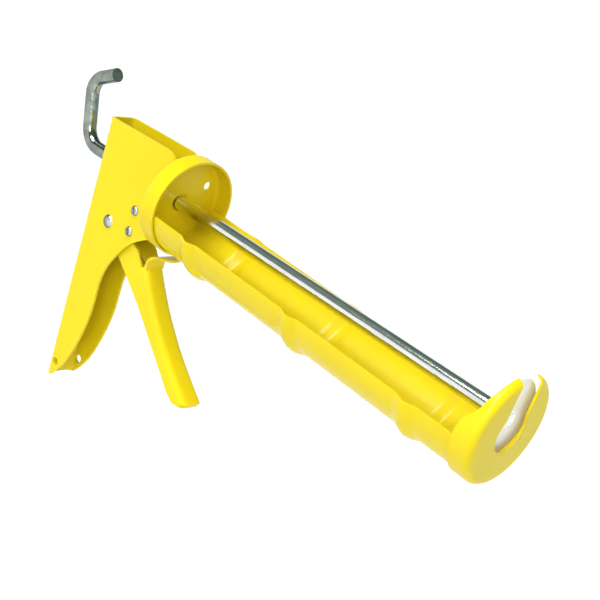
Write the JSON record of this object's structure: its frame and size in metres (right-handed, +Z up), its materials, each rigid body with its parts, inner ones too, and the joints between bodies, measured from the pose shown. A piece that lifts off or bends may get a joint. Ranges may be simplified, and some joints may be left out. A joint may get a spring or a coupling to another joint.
{
  "type": "caulking gun",
  "caption": "Hand caulking gun: half-round cradle for a sealant cartridge, nose cap with nozzle slot, pistol-grip channel handle, pivoting trigger and hooked ratchet drive rod.",
  "frame": {"origin": "on the cradle's axis in the plane of the rear cup's front rim", "axes": "+X forward along the cradle and drive rod towards the nose, +Z up out of the cradle's open side, +Y to the left seen from the handle"},
  "size_m": [0.3275, 0.0564, 0.1847],
  "materials": {
    "yellow_paint": "gloss powder coat",
    "plated_rivet": "bright zinc plate",
    "plain_steel": "satin",
    "plated_rod": "bright zinc plate",
    "plated_disc": "bright plate",
    "hardened_steel": "dark oiled",
    "spring_steel": "drawn wire"
  },
  "bodies": {
    "frame": {"handle_frame": "yellow_paint", "rear_cup": "yellow_paint", "barrel_trough": "yellow_paint", "nose_cap": "yellow_paint", "trigger_pivot_rivet": "plated_rivet", "frame_rivets": "plated_rivet", "pivot_sleeve": "plain_steel", "stop_sleeve": "plain_steel", "check_pawl_sleeves": "plain_steel", "rod_guide": "plain_steel", "check_pawl_spring": "spring_steel", "trigger_return_spring": "spring_steel"},
    "trigger": {"trigger": "yellow_paint", "drive_pawl_pin": "plain_steel", "pawl_washers": "plain_steel", "drive_pawl_spring": "spring_steel"},
    "drive_pawl": {"drive_pawl": "hardened_steel"},
    "check_pawl": {"check_pawl": "hardened_steel"},
    "piston": {"piston_disc": "plated_disc", "piston_washer": "plain_steel"},
    "rod": {"drive_rod": "plated_rod", "piston_nut": "plated_rivet"}
  },
  "joints": [
    {"name": "rod_slide", "type": "slide", "parent": "frame", "child": "piston", "axis": [0.9996, 0, 0.0277], "range_m": [-0.2205, 0]},
    {"name": "rod_turn", "type": "hinge", "parent": "piston", "child": "rod", "pos_m": [0.2, 0, 0.0051], "axis": [0.9996, 0, 0.0277], "range_deg": [-90, 90]},
    {"name": "trigger_pull", "type": "hinge", "parent": "frame", "child": "trigger", "pos_m": [-0.0499, 0, -0.0317], "axis": [0, 1, 0], "range_deg": [0, 28], "stiffness_Nm_per_rad": 0.35, "springref_deg": -20.05, "deforming": ["trigger_return_spring", "drive_pawl_spring"]},
    {"name": "drive_pawl_swing", "type": "hinge", "parent": "trigger", "child": "drive_pawl", "pos_m": [-0.0544, 0, -0.0172], "axis": [0, 1, 0], "range_deg": [-24, 0]},
    {"name": "check_pawl_swing", "type": "hinge", "parent": "frame", "child": "check_pawl", "pos_m": [-0.032, 0, -0.0163], "axis": [0, 1, 0], "range_deg": [0, 5], "stiffness_Nm_per_rad": 0.02, "deforming": ["check_pawl_spring"]}
  ],
  "couplings": [
    {"joint": "drive_pawl_swing", "follows": "trigger_pull", "ratio": -0.8}
  ]
}
